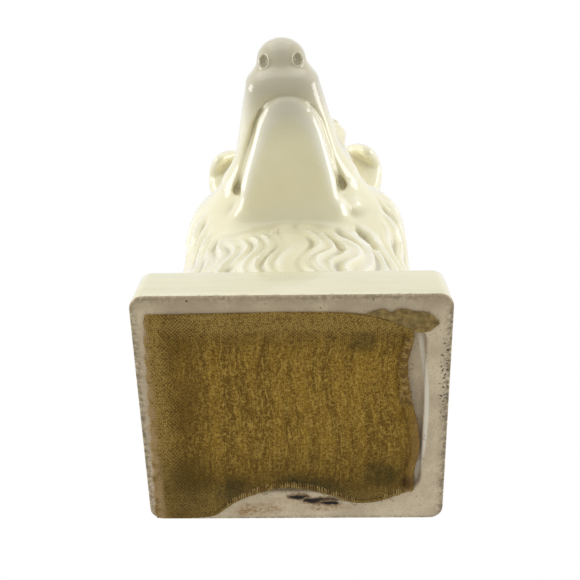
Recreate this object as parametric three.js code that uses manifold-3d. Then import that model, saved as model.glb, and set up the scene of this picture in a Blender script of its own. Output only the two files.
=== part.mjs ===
// Ceramic dog bookend: the head and ruff of a long-coated sheepdog, slip cast in one piece with
// an oblong base, and a woven cloth pad glued under the base. Millimetres, +Z up. The dog looks
// along -Y and the flat back of the ruff, which the books lean on, faces +Y. The origin is on the
// underside of the pad, below the middle of the base.
import * as THREE from "three";
import { mergeVertices } from "three/addons/utils/BufferGeometryUtils.js";
import Module from "manifold-3d";

const wasm = await Module();
wasm.setup();

// Base: an oblong block that narrows a little upwards, with a shallow recess underneath
const BASE_WIDTH = 100;
const BASE_DEPTH = 90.4;
const BASE_HEIGHT = 17.8;
const BASE_CORNER = 4.6;
const BASE_EDGE = 1.8;
const BASE_FOOT_EDGE = 0.8;
const BASE_TAPER = 0.03;
const BASE_ARC_STEPS = 5;
const BASE_EDGE_STEPS = 3;
const RECESS = { left: -42, right: 42, front: -34, rear: 33, corner: 6, depth: 3, steps: 4 };

// Cloth pad: it lies on the rim of the recess, with a hair of glue between. Its left and front
// edges are straight. Its right edge has come loose and shrunk back, and its rear edge is pulled
// in, in waves, from the corner that still holds: the outline runs through these points.
const PAD_THICKNESS = 1;
const GLUE_GAP = 0.3;
const PAD_EDGE_STEPS = 5;
const PAD_CORNERS = { frontLeft: [-48, -39.2], frontRight: [36.5, -39.2], rearLeft: [-47, 43.4] };
const PAD_RIGHT_EDGE = [[39.5, -30.2], [38.5, -6], [40.5, 14], [41.5, 28]];
const PAD_REAR_EDGE = [
  [34, 31.7], [26, 35.9], [16, 36.5], [7, 32.9], [-5, 31], [-17, 33.3], [-25, 37.5], [-32, 43.4],
];

// Heights of the casting count from the rim under its base.
// Head frame: a counts forward along the mouth line, b to the dog's left and c up,
// from the middle of the line that joins the two corners of the mouth.
const MOUTH_CORNERS = new THREE.Vector3(-2, -34, 94);
const HEAD_PITCH = THREE.MathUtils.degToRad(6);
const HEAD_YAW = THREE.MathUtils.degToRad(2.6);

// Tapered bar of the upper jaw: start and end along a, with the half width, the height of the
// middle and the half height at both, the length of the domed ends and the squareness of the
// section. The fuller lips along its lower edge are given in the same way.
const UPPER_JAW = {
  a: [2, 41], half: [19.4, 11.6], middle: [12, 9.4], tall: [13.2, 10.2], dome: 6, square: 2.6,
};
const FULL_LIPS = {
  a: [2, 40.5], half: [20.6, 12.4], middle: [5, 4.2], tall: [7.4, 7], dome: 7.3, square: 3,
};

// Lower jaw: half widths and undersides at these places along a, its flat top, its domed ends and
// the squareness of its section, which is rounder at the chin. Its front lies a little to the left.
const LOWER_JAW = {
  sections: [
    { at: -8, half: 17.4, bottom: -17.2 },
    { at: 0, half: 18, bottom: -16.2 },
    { at: 8, half: 17, bottom: -14.2 },
    { at: 15.5, half: 15, bottom: -12.2 },
    { at: 23, half: 12.8, bottom: -10.4 },
    { at: 30, half: 10.8, bottom: -9 },
    { at: 35, half: 9.1, bottom: -8.2 },
  ],
  top: 3,
  front: { start: 34.4, dome: 5.6 },
  rear: { start: -2, dome: 13 },
  square: [5, 3],
  chin: [26, 37],
  aside: { most: 1.3, from: 4, to: 30 },
};

// Rounded forms of the head: middle and radii along a, b and c
const NOSE = { at: [47.1, 0, 12], radii: [7.8, 8.8, 7.8] };
const NOSTRIL = { at: [51.8, 5.8, 8.1], radii: [3, 1.8, 2.4] };
const SKULL = { at: [-25, 0, 10], radii: [33, 23.5, 24] };
const BROW = { at: [1.5, 8.6, 19.5], radii: [12, 9.6, 10.5] };
const EYEBALL = { at: [9.7, 13.9, 20.6], radii: [6.1, 6.1, 6.1] };
const EYES_ASIDE = 1.8;
const CHEEK = { at: [-16, 16, 4], radii: [18, 16, 18] };

// Widths over which neighbouring forms run into each other
const BLEND = {
  muzzle: 9, brow: 8, cheek: 10, eye: 1.5, fullLips: 4, nose: 3, nostril: 1, lips: 0.8,
};
const RUFF_BLEND = { cheek: 11, jaw: 9, top: 8, back: 3 };
const HEAD_BLEND = { rear: 4, front: 0.8, from: -6, to: 6 };

// Ears: broad and half pricked, the upper part folded forward, in the head frame
const EAR = { root: [-29, 16, 22], crest: [-25, 30, 62], tip: [-13, 31, 44] };
const EAR_HALF_WIDTH = [15, 8];
const EAR_HALF_THICKNESS = [8, 2.4];
const EAR_WIDEST = 0.35;
const EAR_TURN = { outwards: 1, up: -0.35, forward: -0.6 };
const EAR_AROUND = 18;
const EAR_RINGS = 11;

// Ruff and chest: level sections at these heights, each with its half width and the reach of its
// front and back along y, and a fuller mass beside each cheek
const RUFF_SECTIONS = [
  { at: 10, half: 44.4, front: -40, back: 49 },
  { at: 40, half: 47.2, front: -36, back: 49 },
  { at: 62, half: 45.6, front: -32, back: 49 },
  { at: 80, half: 43.2, front: -27, back: 49 },
  { at: 100, half: 40.6, front: -25, back: 48 },
  { at: 116, half: 37, front: -24, back: 44 },
  { at: 128, half: 28.6, front: -20, back: 34 },
  { at: 138, half: 16, front: -10, back: 24 },
];
const RUFF_SQUARE = 2.3;
const RUFF_CHEEK = { at: [25.2, -13, 97], radii: [15.2, 15, 26] };
const RUFF_TOP = 128;
const NAPE_SLOPE = 0.55;
const BACK_PLANE = 43.4;

// The line through the middle of muzzle, head and neck. It runs straight along the head, bends
// round a pivot in front of the throat and goes straight down into the base.
const PIVOT = { y: -42, z: 64 };
const NECK_REACH = { head: 38, neck: 45 };
const NECK_GIRTH = 33;
const NOSE_RINGS = { start: 44, count: 6 };
const MUZZLE_RINGS = 14;
const NAPE_RINGS = 30;
const NECK_RINGS = 13;
const FOOT_INSIDE_BASE = 14;
const FULL_BEND = Math.PI / 2 + HEAD_PITCH;

// Locks of the ruff: ridges that run side by side from behind the cheeks down to the base, sway
// in long waves and swell and thin in turn. The skin beside the jaw is bare. Columns of the mesh
// follow the locks.
const LOCK_COUNT = 15;
const LOCK_HEIGHT = 2.2;
const LOCK_ROUNDNESS = 1.8;
const LOCK_SWAY = { size: 0.3, length: 48 };
const LOCK_SWELL = { length: 40, least: 0.3, shift: 2.4 };
const HAIR_LINE = { thick: 0.62, bare: 1.25 };
const BARE_CHEEK = { at: [19, -33, 88], radii: [13, 14, 22] };
const HAIR_FRINGE = 6;
const COLUMNS_PER_LOCK = 4;
const AROUND = LOCK_COUNT * COLUMNS_PER_LOCK;
const THROAT_CROWDING = 0.32;

// Search for the surface along a ray
const RAY_STEP = 1.5;
const RAY_END = 95;
const RAY_HALVINGS = 12;

const GLAZE = { color: 0xefe8cf, roughness: 0.15, metalness: 0 };
const CLOTH = { color: 0x8a6a3c, roughness: 0.95, metalness: 0 };

const { lerp, smoothstep } = THREE.MathUtils;
const clamp01 = (t) => THREE.MathUtils.clamp(t, 0, 1);

// Distances are negative inside the clay. blend joins two of them, rounded over a width,
// and carve takes the second away from the first.
function blend(d1, d2, width) {
  const near = Math.max(width - Math.abs(d1 - d2), 0) / width;
  return Math.min(d1, d2) - (near ** 2 * width) / 4;
}
function carve(d, tool, width) {
  return -blend(-d, tool, width);
}

const HEAD_AXES = (() => {
  const forward = new THREE.Vector3(
    -Math.sin(HEAD_YAW) * Math.cos(HEAD_PITCH),
    -Math.cos(HEAD_YAW) * Math.cos(HEAD_PITCH),
    -Math.sin(HEAD_PITCH),
  );
  const left = new THREE.Vector3(Math.cos(HEAD_YAW), -Math.sin(HEAD_YAW), 0);
  const up = new THREE.Vector3().crossVectors(forward, left);
  return { forward, left, up };
})();

function toHead(point) {
  const offset = point.clone().sub(MOUTH_CORNERS);
  return [offset.dot(HEAD_AXES.forward), offset.dot(HEAD_AXES.left), offset.dot(HEAD_AXES.up)];
}
function fromHead(a, b, c) {
  return MOUTH_CORNERS.clone()
    .addScaledVector(HEAD_AXES.forward, a)
    .addScaledVector(HEAD_AXES.left, b)
    .addScaledVector(HEAD_AXES.up, c);
}

function egg([a, b, c], { at, radii }) {
  const round = Math.hypot((a - at[0]) / radii[0], (b - at[1]) / radii[1], (c - at[2]) / radii[2]);
  return (round - 1) * Math.min(...radii);
}

function squaredRound(x, y, square) {
  return (Math.abs(x) ** square + Math.abs(y) ** square) ** (1 / square);
}

function taperedBar([a, b, c], bar) {
  const length = bar.a[1] - bar.a[0];
  const along = (a - bar.a[0]) / length;
  const t = clamp01(along);
  const half = lerp(...bar.half, t);
  const tall = lerp(...bar.tall, t);
  const past = ((along - t) * length) / bar.dome;
  const round = squaredRound(b / half, (c - lerp(...bar.middle, t)) / tall, bar.square);
  return (Math.hypot(round, past) - 1) * Math.min(half, tall);
}

// The section at a place between two of the given ones
function sectionAt(sections, at) {
  const above = sections.findIndex((section) => section.at > at);
  const next = above < 0 ? sections.length - 1 : Math.max(above, 1);
  const [low, high] = [sections[next - 1], sections[next]];
  const t = clamp01((at - low.at) / (high.at - low.at));
  return Object.fromEntries(Object.keys(low).map((key) => [key, lerp(low[key], high[key], t)]));
}

function jawDistance([a, side, c]) {
  const { sections, top, front, rear, square, chin, aside } = LOWER_JAW;
  const b = Math.abs(side - aside.most * smoothstep(a, aside.from, aside.to));
  const { half, bottom } = sectionAt(sections, a);
  const tall = (top - bottom) / 2;
  const past = Math.max((a - front.start) / front.dome, (rear.start - a) / rear.dome, 0);
  const squareHere = lerp(...square, smoothstep(a, ...chin));
  const round = squaredRound(b / half, (c - top + tall) / tall, squareHere);
  return (Math.hypot(round, past) - 1) * Math.min(half, tall);
}

function headDistance([a, side, c]) {
  const place = [a, Math.abs(side), c];
  const eyePlace = [a, Math.abs(side - EYES_ASIDE), c];
  let upper = blend(egg(place, SKULL), taperedBar(place, UPPER_JAW), BLEND.muzzle);
  upper = blend(upper, egg(eyePlace, BROW), BLEND.brow);
  upper = blend(upper, egg(place, CHEEK), BLEND.cheek);
  upper = blend(upper, taperedBar(place, FULL_LIPS), BLEND.fullLips);
  upper = blend(upper, egg(place, NOSE), BLEND.nose);
  upper = blend(upper, egg(eyePlace, EYEBALL), BLEND.eye);
  upper = carve(upper, egg(place, NOSTRIL), BLEND.nostril);
  return blend(upper, jawDistance([a, side, c]), BLEND.lips);
}

// A turn of 0 is at the nape and of a half at the throat, where the columns stand closer
function crowd(turn) {
  return 2 * Math.PI * turn + THROAT_CROWDING * Math.sin(2 * Math.PI * turn);
}
function uncrowd(angle) {
  const newtonSteps = 4;
  let turn = angle / (2 * Math.PI);
  for (let i = 0; i < newtonSteps; i += 1) {
    const slope = 2 * Math.PI * (1 + THROAT_CROWDING * Math.cos(2 * Math.PI * turn));
    turn -= (crowd(turn) - angle) / slope;
  }
  return turn;
}

// How far the middle of the head and neck stands from the pivot, at a bend round it
function middleReach(bend) {
  return lerp(NECK_REACH.neck, NECK_REACH.head, clamp01(bend / FULL_BEND));
}

// How far down the coat a place lies, from its bend round the pivot, its drop below the pivot
// and its turn about the neck: less far round the inside of the bend than round the nape
function downCoat(bend, drop, turn) {
  return drop - bend * (NECK_REACH.neck + NECK_GIRTH * Math.cos(crowd(turn)));
}

function lockSway(bend, drop, turn) {
  const wave = Math.sin((2 * Math.PI * downCoat(bend, drop, turn)) / LOCK_SWAY.length);
  return LOCK_SWAY.size * wave * (1 - smoothstep(bend, HAIR_LINE.thick, HAIR_LINE.bare));
}

function hairGrowth(point, bend) {
  const beside = egg([Math.abs(point.x), point.y, point.z], BARE_CHEEK);
  return (1 - smoothstep(bend, HAIR_LINE.thick, HAIR_LINE.bare)) * smoothstep(beside, 0, HAIR_FRINGE);
}

function lockRelief(point) {
  const bend = Math.max(0, Math.atan2(point.z - PIVOT.z, point.y - PIVOT.y));
  const drop = Math.max(0, PIVOT.z - point.z);
  const reach = drop > 0 ? point.y - PIVOT.y : Math.hypot(point.y - PIVOT.y, point.z - PIVOT.z);
  const turn = uncrowd(Math.atan2(point.x - MOUTH_CORNERS.x, reach - middleReach(bend)));
  const place = LOCK_COUNT * turn + lockSway(bend, drop, turn);
  const lock = Math.floor(place);
  const across = 2 * (place - lock) - 1;
  const wave = (2 * Math.PI * downCoat(bend, drop, turn)) / LOCK_SWELL.length;
  const swell = lerp(LOCK_SWELL.least, 1, (1 + Math.sin(wave + LOCK_SWELL.shift * lock)) / 2);
  const ridge = 1 - Math.abs(across) ** LOCK_ROUNDNESS;
  return LOCK_HEIGHT * hairGrowth(point, bend) * swell * ridge;
}

function ruffDistance(point) {
  const section = sectionAt(RUFF_SECTIONS, point.z);
  const depth = (section.back - section.front) / 2;
  const middle = (section.back + section.front) / 2;
  const round = squaredRound(point.x / section.half, (point.y - middle) / depth, RUFF_SQUARE);
  const cheek = egg([Math.abs(point.x), point.y, point.z], RUFF_CHEEK);
  const column = (round - 1) * Math.min(section.half, depth);
  const distance = blend(column, cheek, RUFF_BLEND.cheek);
  const aboveTop = point.z - RUFF_TOP + NAPE_SLOPE * Math.max(0, point.y);
  return carve(distance, -aboveTop, RUFF_BLEND.top) - lockRelief(point);
}

function bustDistance(point) {
  const place = toHead(point);
  const throat = blend(ruffDistance(point), jawDistance(place), RUFF_BLEND.jaw);
  const { rear, front, from, to } = HEAD_BLEND;
  const seam = lerp(rear, front, smoothstep(place[0], from, to));
  const whole = blend(throat, headDistance(place), seam);
  return carve(whole, BACK_PLANE - point.y, RUFF_BLEND.back);
}

// Where a ray from the middle of the clay first leaves it
function leaveClay(origin, direction) {
  const probe = new THREE.Vector3();
  const inside = (t) => bustDistance(probe.copy(origin).addScaledVector(direction, t)) < 0;
  let far = RAY_STEP;
  while (far < RAY_END && inside(far)) far += RAY_STEP;
  let near = far - RAY_STEP;
  for (let i = 0; i < RAY_HALVINGS; i += 1) {
    const middle = (near + far) / 2;
    if (inside(middle)) near = middle;
    else far = middle;
  }
  return origin.clone().addScaledVector(direction, far);
}

// The rings of the bust, from the tip of the nose back over the head and down to the base: the
// middle that a ring's rays start from, its own axes, and how far its rays lean to the nose
function bustRings() {
  const { forward, left, up } = HEAD_AXES;
  const pivot = new THREE.Vector3(MOUTH_CORNERS.x, PIVOT.y, PIVOT.z);
  const [pivotA, , pivotC] = toHead(pivot);
  const headRing = (a, lean) => ({
    middle: fromHead(a, 0, pivotC + NECK_REACH.head), up, left, lean, bend: FULL_BEND, drop: 0,
  });
  const rings = [];
  for (let i = 1; i <= NOSE_RINGS.count; i += 1) {
    const lean = (Math.PI / 2) * (1 - i / (NOSE_RINGS.count + 1));
    rings.push(headRing(NOSE_RINGS.start, lean));
  }
  for (let i = 0; i < MUZZLE_RINGS; i += 1) {
    rings.push(headRing(lerp(NOSE_RINGS.start, pivotA, i / MUZZLE_RINGS), 0));
  }
  const across = new THREE.Vector3(1, 0, 0);
  for (let i = 0; i <= NAPE_RINGS; i += 1) {
    const t = i / NAPE_RINGS;
    const bend = FULL_BEND * (1 - t);
    const away = new THREE.Vector3(0, Math.cos(bend), Math.sin(bend));
    const middle = pivot.clone().addScaledVector(away, middleReach(bend));
    rings.push({ middle, up: away, left: left.clone().lerp(across, t), lean: 0, bend, drop: 0 });
  }
  const back = new THREE.Vector3(0, 1, 0);
  for (let i = 1; i <= NECK_RINGS; i += 1) {
    const z = lerp(PIVOT.z, FOOT_INSIDE_BASE, i / NECK_RINGS);
    const middle = new THREE.Vector3(pivot.x, PIVOT.y + NECK_REACH.neck, z);
    rings.push({ middle, up: back, left: across, lean: 0, bend: 0, drop: PIVOT.z - z });
  }
  return rings;
}

function ringPoint(ring, turn) {
  const angle = crowd(turn - lockSway(ring.bend, ring.drop, turn) / LOCK_COUNT);
  const ray = ring.up.clone().multiplyScalar(Math.cos(angle) * Math.cos(ring.lean))
    .addScaledVector(ring.left, Math.sin(angle) * Math.cos(ring.lean))
    .addScaledVector(HEAD_AXES.forward, Math.sin(ring.lean));
  return leaveClay(ring.middle, ray);
}

// The skin of the bust: a globe whose pole is the tip of the nose, drawn out over the rings
function bustGeometry() {
  const rings = bustRings();
  const geometry = new THREE.SphereGeometry(1, AROUND, rings.length + 1);
  const tip = leaveClay(rings[0].middle, HEAD_AXES.forward);
  const foot = rings.at(-1).middle;
  for (let row = 0; row <= rings.length + 1; row += 1) {
    for (let column = 0; column <= AROUND; column += 1) {
      let spot = row === 0 ? tip : foot;
      if (row > 0 && row <= rings.length) {
        spot = ringPoint(rings[row - 1], 1 - (column % AROUND) / AROUND);
      }
      geometry.attributes.position.setXYZ(row * (AROUND + 1) + column, spot.x, spot.y, spot.z);
    }
  }
  return geometry;
}

// One ear, as rings along a line that rises from the skull and folds over towards the front
function earGeometry(side) {
  const place = ([a, b, c]) => fromHead(a, side * b, c);
  const line = new THREE.QuadraticBezierCurve3(place(EAR.root), place(EAR.crest), place(EAR.tip));
  const width = HEAD_AXES.left.clone().multiplyScalar(side * EAR_TURN.outwards)
    .addScaledVector(HEAD_AXES.up, EAR_TURN.up)
    .addScaledVector(HEAD_AXES.forward, EAR_TURN.forward)
    .normalize();
  const geometry = new THREE.SphereGeometry(1, EAR_AROUND, EAR_RINGS);
  for (let row = 0; row <= EAR_RINGS; row += 1) {
    const t = (1 - Math.cos((Math.PI * row) / EAR_RINGS)) / 2;
    const open = row > 0 && row < EAR_RINGS ? 1 : 0;
    const round = open * Math.sqrt(1 - clamp01((t - EAR_WIDEST) / (1 - EAR_WIDEST)) ** 2);
    const thickness = lerp(...EAR_HALF_THICKNESS, t) * Math.sqrt(round);
    const front = new THREE.Vector3().crossVectors(width, line.getTangent(t)).normalize();
    for (let column = 0; column <= EAR_AROUND; column += 1) {
      const turn = (2 * Math.PI * (column % EAR_AROUND)) / EAR_AROUND;
      const spot = line.getPoint(t)
        .addScaledVector(width, side * lerp(...EAR_HALF_WIDTH, t) * round * Math.cos(turn))
        .addScaledVector(front, side * thickness * Math.sin(turn));
      geometry.attributes.position.setXYZ(row * (EAR_AROUND + 1) + column, spot.x, spot.y, spot.z);
    }
  }
  return geometry;
}

function roundedRectangle(left, right, front, rear, corner) {
  const shape = new THREE.Shape();
  const quarter = Math.PI / 2;
  shape.absarc(right - corner, front + corner, corner, -quarter, 0, false);
  shape.absarc(right - corner, rear - corner, corner, 0, quarter, false);
  shape.absarc(left + corner, rear - corner, corner, quarter, 2 * quarter, false);
  shape.absarc(left + corner, front + corner, corner, 2 * quarter, 3 * quarter, false);
  return shape;
}

function baseGeometry() {
  const halfWidth = BASE_WIDTH / 2 - BASE_EDGE;
  const halfDepth = BASE_DEPTH / 2 - BASE_EDGE;
  const corner = BASE_CORNER - BASE_EDGE;
  const outline = roundedRectangle(-halfWidth, halfWidth, -halfDepth, halfDepth, corner);
  const geometry = new THREE.ExtrudeGeometry(outline, {
    depth: BASE_HEIGHT - BASE_EDGE - BASE_FOOT_EDGE,
    bevelThickness: BASE_EDGE,
    bevelSize: BASE_EDGE,
    bevelSegments: BASE_EDGE_STEPS,
    curveSegments: BASE_ARC_STEPS,
  });
  const position = geometry.attributes.position;
  for (let i = 0; i < position.count; i += 1) {
    // The bevel under the block is squeezed to the small rounding of its foot
    const raised = position.getZ(i);
    const z = BASE_FOOT_EDGE + (raised < 0 ? (BASE_FOOT_EDGE * raised) / BASE_EDGE : raised);
    const narrowing = 1 - (BASE_TAPER * z) / BASE_HEIGHT;
    position.setXYZ(i, position.getX(i) * narrowing, position.getY(i) * narrowing, z);
  }
  return geometry;
}

function recessGeometry() {
  const { left, right, front, rear, corner, depth, steps } = RECESS;
  const geometry = new THREE.ExtrudeGeometry(roundedRectangle(left, right, front, rear, corner), {
    depth: 2 * depth, bevelEnabled: false, curveSegments: steps,
  });
  return geometry.translate(0, 0, -depth);
}

function padGeometry() {
  const through = (points) => points.map(([x, y]) => new THREE.Vector2(x, y));
  const shape = new THREE.Shape();
  shape.moveTo(...PAD_CORNERS.frontLeft);
  shape.lineTo(...PAD_CORNERS.frontRight);
  shape.splineThru(through(PAD_RIGHT_EDGE));
  shape.splineThru(through(PAD_REAR_EDGE));
  shape.lineTo(...PAD_CORNERS.rearLeft);
  shape.closePath();
  return new THREE.ExtrudeGeometry(shape, {
    depth: PAD_THICKNESS, bevelEnabled: false, curveSegments: PAD_EDGE_STEPS,
  });
}

function toSolid(geometry) {
  geometry.deleteAttribute("normal");
  geometry.deleteAttribute("uv");
  const merged = mergeVertices(geometry);
  return new wasm.Manifold(new wasm.Mesh({
    numProp: 3,
    vertProperties: new Float32Array(merged.attributes.position.array),
    triVerts: new Uint32Array(merged.index.array),
  }));
}

function toMesh(solid, name, material) {
  const faces = solid.getMesh();
  const geometry = new THREE.BufferGeometry();
  geometry.setAttribute("position", new THREE.BufferAttribute(faces.vertProperties, 3));
  geometry.setIndex(new THREE.BufferAttribute(faces.triVerts, 1));
  geometry.computeVertexNormals();
  const mesh = new THREE.Mesh(geometry, material);
  mesh.name = name;
  return mesh;
}

function dogBust() {
  const casting = toSolid(baseGeometry())
    .subtract(toSolid(recessGeometry()))
    .add(toSolid(bustGeometry()))
    .add(toSolid(earGeometry(1)))
    .add(toSolid(earGeometry(-1)));
  const mesh = toMesh(casting, "dog_bust", new THREE.MeshStandardMaterial(GLAZE));
  mesh.position.z = PAD_THICKNESS + GLUE_GAP;
  return mesh;
}

function basePad() {
  return toMesh(toSolid(padGeometry()), "base_pad", new THREE.MeshStandardMaterial(CLOTH));
}

const bookend = new THREE.Group();
bookend.add(dogBust(), basePad());

export default bookend;
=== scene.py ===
# %% [markdown]
# # A ceramic dog bookend
# The bookend is one cream-glazed slip casting: the head and ruff of a long-coated sheepdog on an
# oblong base. A brown woven cloth is glued under the base and has worn loose along two edges. The
# photograph looks up at it from below and in front. The CAD part gives the size and the main
# forms, and this notebook gives them their finer carving, their glaze and their wear.

import math

import bmesh
import bpy
import numpy as np
from mathutils import Matrix, Vector, noise


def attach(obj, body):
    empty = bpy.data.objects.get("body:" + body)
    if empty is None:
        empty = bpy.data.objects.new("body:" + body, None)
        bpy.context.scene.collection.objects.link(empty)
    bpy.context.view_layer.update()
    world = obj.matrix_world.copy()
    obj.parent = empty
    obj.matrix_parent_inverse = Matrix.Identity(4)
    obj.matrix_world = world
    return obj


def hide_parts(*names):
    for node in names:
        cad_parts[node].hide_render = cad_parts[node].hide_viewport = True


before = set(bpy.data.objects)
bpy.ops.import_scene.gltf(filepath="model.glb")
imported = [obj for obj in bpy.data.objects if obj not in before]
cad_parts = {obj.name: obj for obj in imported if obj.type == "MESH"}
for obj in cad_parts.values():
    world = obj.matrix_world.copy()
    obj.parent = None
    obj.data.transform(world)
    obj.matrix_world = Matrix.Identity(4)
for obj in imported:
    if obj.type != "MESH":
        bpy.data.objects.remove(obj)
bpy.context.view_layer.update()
MM = 0.001
LIFT = 1.3


def linked(name, data):
    """A new object in the scene."""
    made = bpy.data.objects.new(name, data)
    bpy.context.scene.collection.objects.link(made)
    return made


# %% [markdown]
# ## Camera
# The picture was taken from below the front edge of the base. The camera's place could be turned
# by eye until the base looks right, but its eight corners are sharp in the photograph, so its
# direction, distance and focal length were worked out from them. The numbers are kept here.

# %% Camera
AZIMUTH, ELEVATION, ROLL = (math.radians(a) for a in (2.738, -58.123, 1.766))
DISTANCE, FOCAL_PIXELS, PICTURE_PIXELS, SENSOR = 463.45, 1230.87, 580, 36
TARGET = Vector((-2.41, 0, 77.56))

turned = Matrix.Rotation(AZIMUTH, 3, "Z") @ Matrix.Rotation(math.pi / 2 - ELEVATION, 3, "X")
turned = turned @ Matrix.Rotation(ROLL, 3, "Z")
camera = linked("camera", bpy.data.cameras.new("camera"))
camera.data.sensor_width = SENSOR
camera.data.lens = FOCAL_PIXELS / PICTURE_PIXELS * SENSOR
camera.data.clip_start = 0.01
camera.matrix_world = turned.to_4x4()
camera.matrix_world.translation = (TARGET + turned.col[2] * DISTANCE) * MM
bpy.context.scene.camera = camera
print("lens", round(camera.data.lens, 1), "mm")

# %% [markdown]
# ## Forms of the head as distances
# A modeller builds a head from a few soft lumps of clay and rubs them into each other. The same
# can be done with sums: each lump has a distance that is negative inside it, and the smaller of
# two distances, rounded over a width, joins two lumps. The CAD part was made from these same
# lumps, so the fine surface made here lies on it, without its facets.

# %% Joining and carving
def lerp(a, b, t):
    return a + (b - a) * t


def smoothstep(x, low, high):
    t = np.clip((x - low) / (high - low), 0, 1)
    return t * t * (3 - 2 * t)


def unit(directions):
    return directions / np.linalg.norm(directions, axis=-1, keepdims=True)


def join(d1, d2, width):
    near = np.maximum(width - np.abs(d1 - d2), 0) / width
    return np.minimum(d1, d2) - near**2 * width / 4


def carve(d, tool, width):
    return -join(-d, tool, width)


def egg(points, at, radii):
    return (np.linalg.norm((points - at) / radii, axis=1) - 1) * min(radii)


def squared_round(x, y, square):
    return (np.abs(x) ** square + np.abs(y) ** square) ** (1 / square)


# %% Head frame: a forward along the mouth line, b to the dog's left, c up
PITCH, YAW = math.radians(6), math.radians(2.6)
MOUTH_CORNERS = np.array([-2.0, -34.0, 94.0])
FORWARD = np.array([-math.sin(YAW), -math.cos(YAW), 0]) * math.cos(PITCH) - (0, 0, math.sin(PITCH))
LEFT = np.array([math.cos(YAW), -math.sin(YAW), 0.0])
HEAD_AXES = np.stack([FORWARD, LEFT, np.cross(FORWARD, LEFT)], axis=1)


def to_head(points, aside=0.0):
    """Places in the head frame, with one side folded onto the other. The fold may lie a little aside."""
    places = (points - MOUTH_CORNERS) @ HEAD_AXES
    places[:, 1] = np.abs(places[:, 1] - aside)
    return places


def to_jaw(points):
    """The same for the lower jaw, whose front lies a little to the dog's left."""
    forward = (points - MOUTH_CORNERS) @ FORWARD
    return to_head(points, JAW_ASIDE * smoothstep(forward, 4, 30))


def tapered_bar(places, reach, half, middle, tall, dome, square):
    length = reach[1] - reach[0]
    along = (places[:, 0] - reach[0]) / length
    t = np.clip(along, 0, 1)
    width, height = lerp(*half, t), lerp(*tall, t)
    past = (along - t) * length / dome
    ring = squared_round(places[:, 1] / width, (places[:, 2] - lerp(*middle, t)) / height, square)
    return (np.hypot(ring, past) - 1) * np.minimum(width, height)


def tube(places, path, radii, far=30.0):
    """A thin tapered roll along a path, worked out only for the places near it."""
    path = np.asarray(path, float)
    distance = np.full(len(places), far)
    reach = np.linalg.norm(path - path.mean(0), axis=1).max() + 8
    near = np.linalg.norm(places - path.mean(0), axis=1) < reach
    close = places[near]
    nearest = np.full(len(close), far)
    for a, b, thick, thin in zip(path[:-1], path[1:], radii[:-1], radii[1:]):
        ab = b - a
        t = np.clip((close - a) @ ab / (ab @ ab), 0, 1)
        gap = np.linalg.norm(close - a - t[:, None] * ab, axis=1)
        nearest = np.minimum(nearest, gap - lerp(thick, thin, t))
    distance[near] = nearest
    return distance


print("head looks along", FORWARD.round(3))

# %% [markdown]
# ## Eyes
# The eye is an almond between two lids, set on the side of the head and tilted up towards the
# ear. It could be cut in as a line, but a modelled head has a ball with two thin lids laid over
# it, and that gives the real shadow under the upper lid. So the lids are a slightly larger ball
# with an almond cut out of it, down to the eyeball. A small dimple is the pupil.

# %% Eyes
EYE, EYE_RADIUS, LID_THICK = np.array([9.7, 13.9, 20.6]), 5.2, 0.95
LIDS = (EYE, (EYE_RADIUS + LID_THICK,) * 3)
EYE_BED = ((8.6, 10.6, 19.0), (8.5, 5.8, 7))
EYES_ASIDE = 1.8
SLIT_HALF, SLIT_UP, SLIT_DOWN = 5.0, 2.7, 1.9
PUPIL_RADII = (1.2, 0.8, 1.2)

eye_out = unit(np.array([0.42, 0.86, 0.28]))
eye_along = np.array([-0.86, 0.38, 0.34])
eye_along = unit(eye_along - eye_out * (eye_out @ eye_along))
eye_up = np.cross(eye_along, eye_out)
eye_up *= np.sign(eye_up[2])
PUPIL = EYE + eye_out * EYE_RADIUS


def with_eye(face, places):
    offset = places - EYE
    away = np.linalg.norm(offset, axis=1)
    along, up = offset @ eye_along, offset @ eye_up
    opening = np.maximum(1 - np.abs(along / SLIT_HALF) ** 2.2, -0.5)
    almond = np.maximum(up - SLIT_UP * opening, -up - SLIT_DOWN * opening)
    almond = np.maximum(almond, -(offset @ eye_out))
    face = join(face, egg(places, *EYE_BED), 4)
    face = join(face, away - EYE_RADIUS - LID_THICK, 1.6)
    face = carve(face, np.maximum(almond, EYE_RADIUS - away), 0.35)
    return carve(face, egg(places, PUPIL, PUPIL_RADII), 0.5)


print("pupil at", PUPIL.round(1))

# %% [markdown]
# ## Muzzle, lips and nose
# The upper lip hangs over the lower jaw and throws a shaded band beside it, which ends in a pit
# at each corner of the mouth. Both jaws are tapered bars with squared sections. The lips' line,
# the groove below the nose and the comma of each nostril are carved with thin tubes.

# %% Muzzle
SKULL = ((-25, 0, 10), (33, 23.5, 24))
BROW = ((1.5, 8.6, 19.5), (12, 9.6, 10.5))
CHEEK = ((-16, 16, 4), (18, 16, 18))
UPPER_JAW = ((2, 41), (19.4, 11.6), (12.0, 9.4), (13.2, 10.2), 6, 2.6)
FULL_LIPS = ((2, 40.5), (20.6, 12.4), (5.0, 4.2), (7.4, 7.0), 7.3, 3)
NOSE = ((47.1, 0, 12), (7.8, 8.8, 7.8))
MOUTH_LINE = np.array([
    (1.6, 19.6, -3.2), (5, 19.0, -2.8), (14, 16.6, -2.6), (22, 14.3, -2.5), (29, 12.1, -2.4),
    (34.5, 9.2, -2.4), (37.0, 6.9, -2.4),
])
MOUTH_LINE_ROLL = [1.7, 1.4, 1.15, 1.1, 0.95, 0.6, 0.1]
GROOVE_STRETCH = np.array([1, 1, 0.55])
NOSTRIL = np.array([48.8, 5.6, 7.2])
NOSTRIL_RIM = (NOSTRIL, (2.9, 2.6, 2.9))
NOSTRIL_HOLLOW = (NOSTRIL + (1.2, 0.5, -1.3), (2.3, 1.7, 2.3))
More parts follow.
